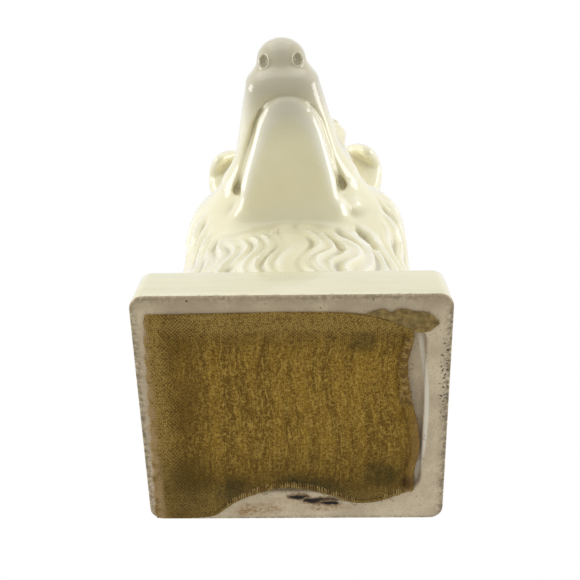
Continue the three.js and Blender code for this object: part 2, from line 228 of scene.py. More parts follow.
LIP_NOTCH = [(43.0, 0, -1.0), (40.0, 0, -2.8)]
JAW_ALONG = [-8, 0, 8, 15.5, 23, 30, 35]
JAW_HALF = [17.4, 18.0, 17.0, 15.0, 12.8, 10.8, 9.1]
JAW_BOTTOM = [-17.2, -16.2, -14.2, -12.2, -10.4, -9.0, -8.2]
JAW_TOP = 3
JAW_ASIDE = 1.3
CHIN, CHIN_DOME, THROAT, THROAT_DOME = 31.5, 8.6, -2, 13


def jaw_distance(places):
    a, b, c = places.T
    half, bottom = np.interp(a, JAW_ALONG, JAW_HALF), np.interp(a, JAW_ALONG, JAW_BOTTOM)
    tall = (JAW_TOP - bottom) / 2
    past = np.where(a > CHIN, (a - CHIN) / CHIN_DOME, np.maximum(0, THROAT - a) / THROAT_DOME)
    rounder_chin = lerp(5, 2.6, smoothstep(a, 24, 36))
    ring = squared_round(b / half, (c - JAW_TOP + tall) / tall, rounder_chin)
    return (np.hypot(ring, past) - 1) * np.minimum(half, tall)


def mouth_groove(lower):
    """The groove between the jaw and the lip, about twice as tall as it is wide."""
    return tube(lower * GROOVE_STRETCH, MOUTH_LINE * GROOVE_STRETCH, MOUTH_LINE_ROLL)


def face_distance(points, finished=True):
    places, eyes, lower = to_head(points), to_head(points, EYES_ASIDE), to_jaw(points)
    face = join(egg(places, *SKULL), tapered_bar(places, *UPPER_JAW), 9)
    face = join(face, egg(eyes, *BROW), 8)
    face = join(face, egg(places, *CHEEK), 10)
    face = join(face, tapered_bar(places, *FULL_LIPS), 4)
    face = join(face, egg(places, *NOSE), 3)
    if finished:
        face = with_eye(face, eyes)
        face = join(face, egg(places, *NOSTRIL_RIM), 0.8)
        face = carve(face, egg(places, *NOSTRIL_HOLLOW), 0.6)
    else:
        face = join(face, egg(eyes, *LIDS), 2)
    face = join(face, jaw_distance(lower), 0.8)
    if finished:
        face = carve(face, tube(lower, LIP_NOTCH, (0.2, 0.6)), 0.5)
    return carve(face, mouth_groove(lower), 0.8)


# %% [markdown]
# ## Ears
# The ears are broad and half pricked: they rise from the back of the skull and the upper third
# folds forward. A flat leaf bent over would be too thin for a casting. Each ear here is a thick
# oval swept along a curve, and a smaller oval scoops its front out, which leaves a rounded rim.

# %% Ears
EAR_LINE = np.array([[-29.0, 16, 22], [-25, 29, 62], [-13, 30, 44]])
EAR_WIDTH_AXIS = unit(np.array([-0.6, 1.0, -0.35]))
WITHOUT_WIDTH = np.eye(3) - np.outer(EAR_WIDTH_AXIS, EAR_WIDTH_AXIS)
EAR_HALF, EAR_THICK, EAR_RIM = (15, 8), (8, 3.2), 2.4
EAR_REACH = 42


def on_ear_line(t):
    root, crest, tip = EAR_LINE
    t = t[:, None]
    spot = (1 - t) ** 2 * root + 2 * t * (1 - t) * crest + t**2 * tip
    pace = 2 * (1 - t) * (crest - root) + 2 * t * (tip - crest)
    return spot, pace


def ear_oval(side, front, past, half, thick):
    half, thick = np.maximum(half, 0.6), np.maximum(thick, 0.5)
    size = np.sqrt((side / half) ** 2 + (front / thick) ** 2 + (past / thick) ** 2)
    return (size - 1) * np.minimum(half, thick)


def ear_distance(points, far=30.0):
    places = to_head(points)
    distance = np.full(len(points), far)
    near = np.linalg.norm(places - EAR_LINE.mean(0), axis=1) < EAR_REACH
    close = places[near]
    if not len(close):
        return distance
    steps = np.linspace(0, 1, 41)
    spots, _ = on_ear_line(steps)
    gaps = (((close @ WITHOUT_WIDTH)[:, None] - spots @ WITHOUT_WIDTH) ** 2).sum(2)
    t = steps[gaps.argmin(1)]
    spot, pace = on_ear_line(t)
    t = np.clip(t + ((close - spot) * pace).sum(1) / (pace**2).sum(1), 0, 1)
    spot, pace = on_ear_line(t)
    pace = unit(pace)
    facing = unit(np.cross(EAR_WIDTH_AXIS, pace))
    offset = close - spot
    side, front = offset @ EAR_WIDTH_AXIS, (offset * facing).sum(1)
    past = np.where((t <= 0) | (t >= 1), (offset * pace).sum(1), 0)
    closing = np.sqrt(1 - 0.9 * np.clip((t - 0.35) / 0.65, 0, 1) ** 2)
    half, thick = lerp(*EAR_HALF, t) * closing, lerp(*EAR_THICK, t) * np.sqrt(closing)
    ear = ear_oval(side, front, past, half, thick)
    scoop_half = (half - EAR_RIM) * smoothstep(t, 0.05, 0.3)
    scoop = ear_oval(side, front - thick * lerp(1.5, 1.8, t), past, scoop_half, thick * 0.95)
    scoop += lerp(4, 0, smoothstep(scoop_half, 0.5, 3))
    distance[near] = carve(ear, scoop, 3)
    return distance


# %% [markdown]
# ## Ruff
# Below the head the long coat stands away as a ruff, cut off flat behind for the books. Level
# sections hold its width, front and back at a few heights, and a fuller mass swells beside each
# cheek. This is still the smooth clay, before any lock is cut into it.

# %% Ruff
RUFF_HEIGHTS = [10, 40, 62, 80, 100, 116, 128, 138]
RUFF_HALF = [45.0, 48.0, 46.4, 44.0, 41.4, 37.5, 29, 16]
RUFF_FRONT = [-40, -36, -32, -27, -25, -24, -20, -10]
RUFF_BACK = [49, 49, 49, 49, 48, 44, 34, 24]
CHEEK_HAIR = ((25.2, -13, 97), (15.2, 15, 26))
TOP_HEIGHT, TOP_RISE = 128, 0.55
BACK_PLANE = 43.4


def folded(points):
    return np.abs(points) * (1, 0, 0) + points * (0, 1, 1)


def ruff_distance(points):
    x, y, z = points.T
    half, front, rear = (np.interp(z, RUFF_HEIGHTS, v) for v in (RUFF_HALF, RUFF_FRONT, RUFF_BACK))
    depth, middle = (rear - front) / 2, (rear + front) / 2
    column = (squared_round(x / half, (y - middle) / depth, 2.3) - 1) * np.minimum(half, depth)
    distance = join(column, egg(folded(points), *CHEEK_HAIR), 11)
    return carve(distance, TOP_HEIGHT - z - TOP_RISE * np.maximum(0, y), 8)


def smooth_clay(points, finished=True):
    places = to_head(points)
    throat = join(ruff_distance(points), jaw_distance(to_jaw(points)), 9)
    sharper_on_muzzle = lerp(4, 0.8, smoothstep(places[:, 0], -6, 6))
    whole = join(throat, face_distance(points, finished), sharper_on_muzzle)
    whole = join(whole, ear_distance(points), 3)
    return carve(whole, BACK_PLANE - points[:, 1], 3)


# %% [markdown]
# ## From the CAD casting to fine clay
# The CAD casting is one closed shell of long facets. Subdividing it would keep their pattern. A
# voxel remesh gives even quads instead, and each vertex is then moved straight onto the smooth
# clay, a few short steps along the slope of the distance. A coarse round first takes the facets
# away, and a fine round gives enough vertices for the hair.

# %% Cut the bust off its base and remesh it
CUT_HEIGHT, FOOT = 19.6, 4.0


def opened(mesh):
    form = bmesh.new()
    form.from_mesh(mesh)
    return form


def close(form, mesh=None):
    """Writes a form back to its mesh, or to a new one."""
    mesh = mesh or bpy.data.meshes.new("form")
    form.to_mesh(mesh)
    form.free()
    return mesh


bust_form = opened(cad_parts["dog_bust"].data)
bmesh.ops.remove_doubles(bust_form, verts=bust_form.verts, dist=1e-6)
bmesh.ops.bisect_plane(
    bust_form, geom=bust_form.verts[:] + bust_form.edges[:] + bust_form.faces[:], dist=1e-7,
    plane_co=(0, 0, CUT_HEIGHT * MM), plane_no=(0, 0, 1), clear_inner=True,
)
rim = [e for e in bust_form.edges if e.is_boundary]
floor_face = bmesh.ops.edgeloop_fill(bust_form, edges=rim)["faces"]
pulled = bmesh.ops.extrude_face_region(bust_form, geom=floor_face)["geom"]
pulled = [v for v in pulled if isinstance(v, bmesh.types.BMVert)]
bmesh.ops.translate(bust_form, verts=pulled, vec=(0, 0, -FOOT * MM))
bmesh.ops.delete(bust_form, geom=floor_face, context="FACES_ONLY")
bmesh.ops.recalc_face_normals(bust_form, faces=bust_form.faces)
open_edges = sum(e.is_boundary for e in bust_form.edges)
print("bust cut off with", len(bust_form.faces), "faces, open edges", open_edges)


def final_mesh(holder):
    """The mesh that an object ends up with. The object itself goes."""
    graph = bpy.context.evaluated_depsgraph_get()
    made = bpy.data.meshes.new_from_object(holder.evaluated_get(graph))
    bpy.data.objects.remove(holder)
    return made


def remeshed(mesh, voxel):
    """A new mesh of even quads over the same volume."""
    holder = linked("remesh_holder", mesh)
    remesh = holder.modifiers.new("voxels", "REMESH")
    remesh.mode, remesh.voxel_size = "VOXEL", voxel * MM
    return final_mesh(holder)


def read(items, name, width, kind=float):
    """One row of numbers for each item."""
    flat = np.empty(len(items) * width, dtype=kind)
    items.foreach_get(name, flat)
    return flat.reshape(-1, width)


def read_points(mesh):
    return read(mesh.vertices, "co", 3) / MM - (0, 0, LIFT)


def write_points(mesh, points):
    mesh.vertices.foreach_set("co", ((points + (0, 0, LIFT)) * MM).ravel())
    mesh.update()


def slope(field, points, step=0.05):
    here = field(points)
    away = [field(points + step * np.eye(3)[i]) - here for i in range(3)]
    return here, np.stack(away, axis=1) / step


def rough_clay(points):
    return smooth_clay(points, finished=False)


def above_foot(points):
    return points[:, 2] > CUT_HEIGHT - LIFT - FOOT + 0.4


def settle(points, rounds, field=smooth_clay, longest=0.5):
    """Moves the points onto the clay, all but the flat foot that the base hides."""
    free = above_foot(points)
    for _ in range(rounds):
        here, steep = slope(field, points[free])
        size = np.maximum((steep**2).sum(1), 0.05)
        move = -steep * (here / size)[:, None]
        length = np.linalg.norm(move, axis=1)
        move *= np.minimum(1, longest / np.maximum(length, 1e-9))[:, None]
        points[free] += move
    return points


# %% Two rounds of remeshing
def neighbour_pairs(mesh):
    return read(mesh.edges, "vertices", 2, np.int64).T


def rubbed(values, pairs, rounds, amount=1.0):
    """Each vertex's value drawn towards the middle of its neighbours' values."""
    first, second = pairs
    count = len(values)
    shared = np.bincount(first, minlength=count) + np.bincount(second, minlength=count)
    for _ in range(rounds):
        total = np.stack([
            np.bincount(first, value[second], count) + np.bincount(second, value[first], count)
            for value in values.T
        ], axis=1)
        values = lerp(values, total / np.maximum(shared, 1)[:, None], amount)
    return values


def evened(mesh, rounds, *how):
    """Spreads the vertices evenly while it lays them on the clay, so that no groove folds up."""
    points, pairs = settle(read_points(mesh), 2, *how), neighbour_pairs(mesh)
    for _ in range(rounds):
        points = settle(rubbed(points, pairs, 1, 0.6), 1, *how)
    write_points(mesh, settle(points, 2, *how))


COARSE_VOXEL, FINE_VOXEL = 1.3, 0.785
coarse = remeshed(close(bust_form), COARSE_VOXEL)
evened(coarse, 3, rough_clay, 1.5)
bust_mesh = remeshed(coarse, FINE_VOXEL)
evened(bust_mesh, 3, rough_clay)
print("clay", len(bust_mesh.vertices), "vertices")

# %% [markdown]
# The mouth line, the nostrils and the eyes need a finer mesh than the rest. Their edges are
# subdivided once more, which halves the spacing only where it is seen.

# %% Finer mesh on the features
points = read_points(bust_mesh)
lower, sides = to_jaw(points), to_head(points)
fine = (mouth_groove(lower) < 2) | (egg(sides, NOSTRIL, (3.2, 2.5, 3.3)) < 1.6)
fine |= egg(to_head(points, EYES_ASIDE), *LIDS) < 1.5
form = opened(bust_mesh)
chosen = [e for e in form.edges if fine[e.verts[0].index] and fine[e.verts[1].index]]
bmesh.ops.subdivide_edges(form, edges=chosen, cuts=1, use_grid_fill=True)
close(form, bust_mesh)
evened(bust_mesh, 5)
clay = read_points(bust_mesh)
off_clay = np.abs(smooth_clay(clay[above_foot(clay)][::50])).max()
print("finer clay", len(clay), "vertices, off the clay by at most", off_clay.round(3), "mm")

# %% [markdown]
# ## Combing the coat
# The locks run from behind the cheeks and below the throat down to the base, in long waves. Hair
# particles would be lost in the export and would be far too fine: on the casting each lock is a
# rounded ridge with a sharp groove beside it. So each vertex gets a place in the coat, how far
# round the neck and how far down, and the ridges and grooves are sums of that place. The locks
# crowd together a little in front, and they hang straighter at the sides.

# %% Places in the coat
PIVOT_Y, PIVOT_Z = -42, 64
FULL_BEND = math.pi / 2 + PITCH
LOCKS, CROWDING = 15, 0.32
FULL_TURN = 2 * math.pi
SWAY, SWAY_LENGTH = 0.2, 36
BARE_THROAT = ((19, -33, 88), (13, 14, 22))


def turn_of(angle):
    even = angle
    for _ in range(4):
        even = even - (even + CROWDING * np.sin(even) - angle) / (1 + CROWDING * np.cos(even))
    return even / FULL_TURN


def coat_places(points):
    """Turn round the neck, millimetres down the coat, and how thick the hair grows."""
    x, y, z = points.T
    bend = np.maximum(0, np.arctan2(z - PIVOT_Z, y - PIVOT_Y))
    drop = np.maximum(0, PIVOT_Z - z)
    reach = np.where(drop > 0, y - PIVOT_Y, np.hypot(y - PIVOT_Y, z - PIVOT_Z))
    middle = lerp(45, 38, np.clip(bend / FULL_BEND, 0, 1))
    angle = np.arctan2(x - MOUTH_CORNERS[0], reach - middle)
    down = drop - bend * (45 + 33 * np.cos(angle))
    beside_jaw = smoothstep(egg(folded(points), *BARE_THROAT), 0, 6)
    return turn_of(angle), down, bend, beside_jaw


turn, down, bend, beside_jaw = coat_places(clay)
calmer_above = 1 - smoothstep(bend, 0.62, 1.25)
thick_hair = calmer_above * beside_jaw
fine_hair = (1 - smoothstep(bend, 1.15, 1.5)) * beside_jaw
x, y, z = clay.T
straighter_aside = lerp(1, 0.3, smoothstep(np.abs(x), 22, 34))
sway = SWAY * np.sin(FULL_TURN * (down - 3) / SWAY_LENGTH) * straighter_aside * calmer_above
place = LOCKS * turn + sway
print("hair grows on", int((thick_hair > 0.5).sum()), "vertices")

# %% [markdown]
# The broad locks are the CAD part's own. Over them run forty hollow flutes with narrow crests,
# which swell and thin on their own. The throat below the jaw is left smooth, and tapered grooves
# of a loop tool cross the coat here and there, deeper than the rest. Everything is counted round
# the neck in whole numbers, so that the pattern closes where the count starts again. Four grooves
# and a soft fold behind the jaw lie where the photograph shows them.

# %% Locks and flutes
def scatter(index, seed):
    """An even-looking number from 0 to 1 for each index, the same in every run."""
    return np.modf(np.abs(np.sin(index * 12.9898 + seed * 78.233)) * 43758.5453)[0]


lock = np.floor(place)
across_lock = 2 * (place - lock) - 1
swell = lerp(0.3, 1, (1 + np.sin(FULL_TURN * down / 40 + 2.4 * (lock % LOCKS))) / 2)
lock_relief = 0.9 * thick_hair * swell * (1 - np.abs(across_lock) ** 2)

FLUTES, LINES = 40, 3
wander = 0.20 * np.sin(down / 11 + 3 * FULL_TURN * turn)
wander += 0.10 * np.sin(down / 6.1 + 7 * FULL_TURN * turn)
flute_place = place * FLUTES / LOCKS + wander
flute = np.floor(flute_place) % FLUTES
pace = 30 + 20 * scatter(flute, 1)
flute_depth = 1.45 + 0.65 * np.sin(FULL_TURN * (down / pace + scatter(flute, 2)))
hollowed = np.sqrt(np.sin(math.pi * flute_place) ** 2 + 0.06) - 0.245
off_throat = 1 - smoothstep(z, 65, 75) * smoothstep(np.abs(x + 1), 32, 22)
smooth_strip = np.exp(-(((x - 0.5) / 5.0) ** 4)) * smoothstep(y, -20, -26)
crests_up = lerp(0.25, 0.5, smoothstep(z, 60, 30))
strand_relief = flute_depth * (crests_up - hollowed) * off_throat * (1 - 0.95 * smooth_strip)
strand_relief -= 0.22 * np.sin(math.pi * LINES * flute_place) ** 2 * smoothstep(np.abs(x), 20, 34)

# %% Tool grooves
def bell(away, width):
    return np.exp(-((away / width) ** 2))


GROOVES, MM_PER_LOCK = 14, 18.5
GOLDEN = 0.6180339887
groove_depth = np.zeros(len(clay))
for i in range(GROOVES):
    at_place, at_down = LOCKS * (scatter(i, 3) - 0.5), -90 + 140 * (i * GOLDEN % 1)
    along = (down - at_down) / (7 + 6 * scatter(i, 4))
    inside = np.abs(along) < 1
    gap = (place[inside] - at_place + LOCKS / 2) % LOCKS - LOCKS / 2
    depth = (0.9 + 0.8 * scatter(i, 7)) * (1 - along[inside] ** 2) * bell(gap * MM_PER_LOCK, 1.5)
    groove_depth[inside] = np.maximum(groove_depth[inside], depth)
relief = lock_relief + (strand_relief - groove_depth * off_throat) * fine_hair

# %% Grooves and fold with a place of their own: depth, fading at the ends, and path
DEEP_GROOVES = [
    (3.0, 1.2, [(15.6, -28.5, 71.6), (19.0, -28.6, 67.0), (21.6, -28.8, 62.6), (22.2, -29.0, 58.5)]),
    (3.0, 1.2, [(22.6, -27.0, 75.0), (26.0, -26.4, 71.5), (28.6, -25.8, 67.0), (28.8, -25.4, 62.5)]),
    (1.2, 1.4, [(10.5, -29.5, 67.0), (14.0, -30.5, 59.0), (17.4, -32.0, 50.6)]),
    (1.5, 1.4, [(31.0, -27.0, 97.0), (34.8, -24.5, 93.0), (38.4, -20.8, 89.0)]),
]
FOLD, FOLD_RISE, FOLD_WIDTH = [(16.0, -33.5, 79.5), (21.5, -31.0, 88.0)], 0.9, 2.8
GROOVE_ROLL, GROOVE_WIDTH = 0.4, 1.75
deep_cut = np.zeros(len(clay))
for depth, fading, path in DEEP_GROOVES:
    rolls = [-fading] + [GROOVE_ROLL] * (len(path) - 2) + [-fading]
    near_line = np.maximum(tube(clay, path, rolls), 0)
    deep_cut = np.maximum(deep_cut, depth * bell(near_line, GROOVE_WIDTH))
fold_relief = FOLD_RISE * bell(tube(clay, FOLD, (0, 0)), FOLD_WIDTH)
print("relief from", relief.min().round(2), "to", relief.max().round(2), "mm")

# %% [markdown]
# The relief is laid on along the slope of the smooth clay. It fades out where the head takes over
# from the ruff, on the ears, and towards the flat back, which is cut clean for the books. The
# placed grooves and the fold lie close to the head and don't fade there.

# %% Lay the relief on
head_away = np.minimum(face_distance(clay), ear_distance(clay)) - ruff_distance(clay)
on_ruff = smoothstep(head_away, 0.3, 7)
short_of_back = smoothstep(BACK_PLANE - clay[:, 1], 0.3, 4)
_, steep = slope(smooth_clay, clay)
outward = steep / np.maximum(np.linalg.norm(steep, axis=1), 1e-6)[:, None]
height = fold_relief - deep_cut + relief * on_ruff * short_of_back * above_foot(clay)
carved = clay + outward * height[:, None]
carved[:, 1] = np.minimum(carved[:, 1], BACK_PLANE)
write_points(bust_mesh, carved)

# %% [markdown]
# Glaze runs off the ridges and gathers in the hollows, where it is deeper in colour; the hollows
# also get painted shade. How hollow each vertex lies is measured here once and kept with the mesh,
# for the glaze to read: it is how far a rubbed-smooth copy of the surface stands outside the real
# one. On the ears and in the crease below the jaw the gathered colour and painted shade are
# weaker, and the back is flat.

# %% Measure the hollows
def keep(mesh, name, values):
    """Keeps one value for each vertex with the mesh."""
    layer = mesh.attributes.new(name, "FLOAT", "POINT")
    layer.data.foreach_set("value", values.astype(np.float32))


RUBBING_ROUNDS, FULLY_HOLLOW = 26, 0.55
pairs = neighbour_pairs(bust_mesh)
normals = rubbed(read(bust_mesh.vertices, "normal", 3), pairs, 2)
standing_out = ((rubbed(carved, pairs, RUBBING_ROUNDS) - carved) * normals).sum(1)
# The gathered colour and its painted shade are weaker on the ears and in the crease below the jaw.
less_on_ears = lerp(0.35, 1, smoothstep(ear_distance(carved), 0, 3))
hollow = rubbed((np.clip(standing_out / FULLY_HOLLOW, -1, 1) * less_on_ears)[:, None], pairs, 2)[:, 0]
below_jaw = bell(carved[:, 2] - 76, 4.5) * smoothstep(np.abs(carved[:, 0] + 1), 26, 19)
hollow *= 1 - 0.75 * below_jaw * (carved[:, 1] < 0)
hollow[carved[:, 1] > BACK_PLANE - 0.01] = 0
keep(bust_mesh, "hollow", hollow)
print("hollow from", hollow.min().round(2), "to", hollow.max().round(2))

# %% Merge the flat back and the hidden foot
form = opened(bust_mesh)


def around(v):
    return [e.other_vert(v) for e in v.link_edges]


for v in form.verts:
    flat_back = all(w.co.y / MM > BACK_PLANE - 0.01 for w in [v, *around(v)])
    v.select = v.co.z / MM < CUT_HEIGHT - FOOT + 0.3 or flat_back
bmesh.ops.dissolve_limit(
    form, angle_limit=math.radians(1), use_dissolve_boundaries=False,
    verts=[v for v in form.verts if v.select and all(w.select for w in around(v))],
    edges=[e for e in form.edges if e.verts[0].select and e.verts[1].select],
)
close(form, bust_mesh)
print("after merging the flats", len(bust_mesh.vertices), "vertices")

# %% [markdown]
# ## Adding pieces to the part
# Every piece rides on the part's one body, stands for the CAD node it was made from and gets its
# materials. One helper does that for all of them.

# %% Piece helper
def add_piece(name, mesh, materials, node):
    for material in materials:
        mesh.materials.append(material)
    mesh.name = name
    piece = linked(name, mesh)
    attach(piece, "root")
    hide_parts(node)
    print(name, sum(len(p.vertices) - 2 for p in mesh.polygons), "triangles")
    return piece


# %% [markdown]
# ## Shader helpers
# Every finish here is a web of nodes that reads Object coordinates, the cloth's UV map or a value
# kept with the mesh. Written out node by node, a web is long and hard to follow. So a node's
# output is wrapped in a Value, which can be added and multiplied like a number, and each other
# kind of node that the finishes need has a short function.

# %% Shader helpers
def new_material(name):
    """An empty material, and the Object coordinates in it."""
    material = bpy.data.materials.new(name)
    material.use_nodes = True
    material.node_tree.nodes.clear()
    return material, coordinates(material.node_tree)


def put(tree, kind, values=None, **settings):
    """Adds a node. Each of its inputs gets a number, a colour or a Value."""
    made = tree.nodes.new(kind)
    for key, setting in settings.items():
        setattr(made, key, setting)
    for key, value in (values or {}).items():
        if isinstance(value, Value):
            tree.links.new(value.socket, made.inputs[key])
        else:
            made.inputs[key].default_value = value
    return made


class Value:
    """One output of a node."""

    def __init__(self, made, key=0):
        self.socket, self.tree = made.outputs[key], made.id_data

    def sum(self, operation, other=0.0):
        return Value(put(self.tree, "ShaderNodeMath", {0: self, 1: other}, operation=operation))

    def __add__(self, other):
        return self.sum("ADD", other)

    def __sub__(self, other):
        return self.sum("SUBTRACT", other)

    def __mul__(self, other):
        return self.sum("MULTIPLY", other)

    def __truediv__(self, other):
        return self.sum("DIVIDE", other)

    def __abs__(self):
        return self.sum("ABSOLUTE")


def larger(a, b):
    return a.sum("MAXIMUM", b)


def ramp(value, low, high, to_low=0.0, to_high=1.0):
    """Goes smoothly from to_low to to_high while the value goes from low to high."""
    values = {"Value": value, "From Min": low, "From Max": high, "To Min": to_low, "To Max": to_high}
    return Value(put(value.tree, "ShaderNodeMapRange", values, interpolation_type="SMOOTHSTEP"))


def tint(amount, under, over):
    """Lays one colour over another."""
    colours = {key: c if isinstance(c, Value) else (*c, 1) for key, c in ((6, under), (7, over))}
    return Value(put(amount.tree, "ShaderNodeMix", {0: amount, **colours}, data_type="RGBA"), 2)


def layered(colour, *layers):
    """Lays colours over the first one, each as far as its amount says."""
    for amount, over in layers:
        colour = tint(amount, colour, over)
    return colour


def mottle(where, scale, detail=2.0, roughness=0.5):
    values = {"Vector": where, "Scale": scale, "Detail": detail, "Roughness": roughness}
    return Value(put(where.tree, "ShaderNodeTexNoise", values))


def parts(vector):
    split = put(vector.tree, "ShaderNodeSeparateXYZ", {0: vector})
    return [Value(split, k) for k in range(3)]


def vector_of(*three):
    return Value(put(three[0].tree, "ShaderNodeCombineXYZ", dict(enumerate(three))))


def coordinates(tree, kind="Object"):
    return Value(put(tree, "ShaderNodeTexCoord"), kind)


def kept(where, name):
    """A value that was kept with the mesh."""
    return Value(put(where.tree, "ShaderNodeAttribute", attribute_name=name), "Fac")


def finish_with(values, height, strength, distance):
    """The shader itself, with a bump from the given height."""
    tree = height.tree
    bump = put(tree, "ShaderNodeBump", {"Height": height, "Strength": strength, "Distance": distance})
    shader = put(tree, "ShaderNodeBsdfPrincipled", {**values, "Normal": Value(bump)})
    put(tree, "ShaderNodeOutputMaterial", {"Surface": Value(shader)})


# %% [markdown]
# ## Glaze
# The casting is covered with a thick, shiny, cream glaze. Where it runs thin over the ridges it
# is nearly white, and where it gathers it is straw coloured, with painted shade laid into the
# hollows too. A clear coat over a soft body would do for the shine. The kept hollow value gives
# the gathering and this painted shade. A faint cloudiness and a few pin holes keep every part from
# being one flat colour. The underside of the muzzle, where it faces down, is painted greyer as
# shade, and the base has faint level streaks and a soiled lower edge.

# %% Glaze
CREAM, WARM_CREAM = (0.83, 0.775, 0.52), (0.87, 0.82, 0.58)
THIN_GLAZE, GATHERED_GLAZE_AND_SHADE, MUZZLE_UNDERSIDE_SHADE = (0.95, 0.935, 0.80), (0.46, 0.40, 0.22), (0.50, 0.45, 0.31)
PIN_HOLE, BASE_STREAK, SOIL = (0.40, 0.31, 0.16), (0.66, 0.65, 0.48), (0.20, 0.155, 0.09)

glaze, where = new_material("cream_glaze")
aside, forward, up = parts(where)
glaze_pool_and_shade = kept(where, "hollow")
facing_up = parts(coordinates(where.tree, "Normal"))[2]
# Painted shade: the muzzle's surfaces that face down are laid greyer.
shaded_muzzle_underside = ramp(forward, -0.056, -0.078, 0.0, 0.85) * ramp(facing_up, 0.45, -0.25, 0.1, 1.0)
on_base, lower_edge = ramp(up, 0.0200, 0.0185), ramp(up, 0.0032, 0.0019)
level_streaks = mottle(vector_of(aside * 40.0, forward * 40.0, up * 500.0), 1.0, 3, 0.6)
body = layered(
    CREAM,
    (ramp(mottle(where, 38, 3), 0.35, 0.65), WARM_CREAM),
    (ramp(glaze_pool_and_shade, -0.9, -0.1, 0.8, 0.0), THIN_GLAZE),
    # Gathered glaze in the hollows, darkened further as painted shade.
    (ramp(glaze_pool_and_shade, 0.05, 0.9, 0.0, 0.85), GATHERED_GLAZE_AND_SHADE),
    (shaded_muzzle_underside, MUZZLE_UNDERSIDE_SHADE),
    (on_base * ramp(level_streaks, 0.36, 0.68, 0.20, 0.42), BASE_STREAK),
    (lower_edge * ramp(mottle(where, 560, 4, 0.7), 0.45, 0.65) * 0.6, SOIL),
    (ramp(mottle(where, 900, 1), 0.755, 0.775) * 0.3, PIN_HOLE),
)
ripple = mottle(where, 70, 1) + mottle(where, 330, 1) * 0.12
shine = {"Roughness": 0.25, "Coat Weight": 1.0, "Coat Roughness": 0.03, "Coat IOR": 1.5, "IOR": 1.5}
finish_with({"Base Color": body, **shine}, ripple, 0.22, 0.0006)

FEWEST_CORNERS_OF_A_FLAT = 8
bust_mesh.shade_smooth()
for polygon in bust_mesh.polygons:
    polygon.use_smooth = len(polygon.vertices) < FEWEST_CORNERS_OF_A_FLAT
add_piece("bust", bust_mesh, [glaze], "dog_bust")

# %% [markdown]
# ## Bare clay under the base
# The rim and the recess under the base were wiped clean of glaze before firing. The bare clay is
# a greyish buff, chalky and soiled. Dirt sits along the worn outer edges, two dark holes and a
# rusty stain lie in the rear rim, and black specks lie in a row near the right edge. The dirt
# could be painted as an image. Ovals with a ragged edge, placed in millimetres, do the same and
# stay sharp at any distance.

# %% Bare clay
CLAY, CLAY_PATCH, CLAY_GRAIN = (0.86, 0.73, 0.50), (0.68, 0.56, 0.38), (0.42, 0.32, 0.20)
GRIME, EDGE_DIRT, FRONT_SOIL = (0.23, 0.175, 0.105), (0.085, 0.062, 0.034), (0.50, 0.40, 0.26)
RUST, PAINTED_LIP_HIGHLIGHT, HOLE_RING = (0.40, 0.215, 0.065), (1.0, 0.93, 0.76), (0.30, 0.20, 0.10)
HOLE_SHADE, SPECK = (0.018, 0.013, 0.010), (0.035, 0.026, 0.02)
RUST_SPOTS = ((-12, 40.5, 9, 2.6, 0.9), (-17, 42.0, 4, 1.6, 0.9), (11, 40.0, 8, 1.6, 0.8),
              (-3, 37.0, 9, 1.8, 0.4))
HOLES = ((1, 35.4, 3.4, 0.9), (9.5, 36.9, 6.2, 1.1), (12, 38.0, 3.4, 0.8))
SPECK_BAND = (48.0, -14, 1.6, 19)


def underside_places(where):
    """The level coordinates in millimetres, a noise, and a function for ragged ovals."""
    px, py = (metres * 1000.0 for metres in parts(where)[:2])
    smear = mottle(where, 260, 4, 0.65)

    def spot(cx, cy, rx, ry, ragged, outer=1.25, inner=0.45):
        """1 in the middle of the oval and 0 outside it."""
        dx, dy = (px - cx) / rx, (py - cy) / ry
        return ramp(dx * dx + dy * dy + (smear - 0.5) * ragged, outer, inner)

    return px, py, smear, spot


bare_clay, where = new_material("bare_clay")
px, py, smear, spot = underside_places(where)
grain, patches = mottle(where, 1500, 2), mottle(where, 75, 5, 0.6)
near_edge = larger(larger(ramp(abs(px), 46.2, 49.8), ramp(py, -41.0, -45.0)), ramp(py, 42.8, 45.2))
edge_line = larger(ramp(py, -43.4, -44.8), ramp(abs(px), 48.2, 49.8, 0, 0.6))
colour = layered(
    CLAY,
    (ramp(patches, 0.35, 0.68), CLAY_PATCH),
    (ramp(grain, 0.5, 0.72, 0, 0.45), CLAY_GRAIN),
    (near_edge * ramp(mottle(where, 620, 5, 0.7), 0.36, 0.62) * 0.85, GRIME),
    (edge_line * ramp(mottle(where, 650, 4, 0.75), 0.38, 0.60) * 0.8, EDGE_DIRT),
    (ramp(py, -38, -42) * ramp(patches, 0.3, 0.65, 0.4, 0.8), FRONT_SOIL),
)
speckled = ramp(mottle(where, 820, 3, 0.75), 0.40, 0.66, 0.22, 1.0)
for *oval, strong in RUST_SPOTS:
    colour = tint(spot(*oval, 2.0, 1.6, 0.0) * speckled * strong, colour, RUST)
# Painted highlight: a pale band along the lip of the recess's right wall.
along_wall = py - 1.0
from_lip = abs(px + along_wall * along_wall * 0.0032 - 42.9)
lit_lip_of_recess = ramp(from_lip, 1.1, 0.3) * ramp(abs(along_wall), 33, 26)
colour = tint(lit_lip_of_recess * 0.9, colour, PAINTED_LIP_HIGHLIGHT)
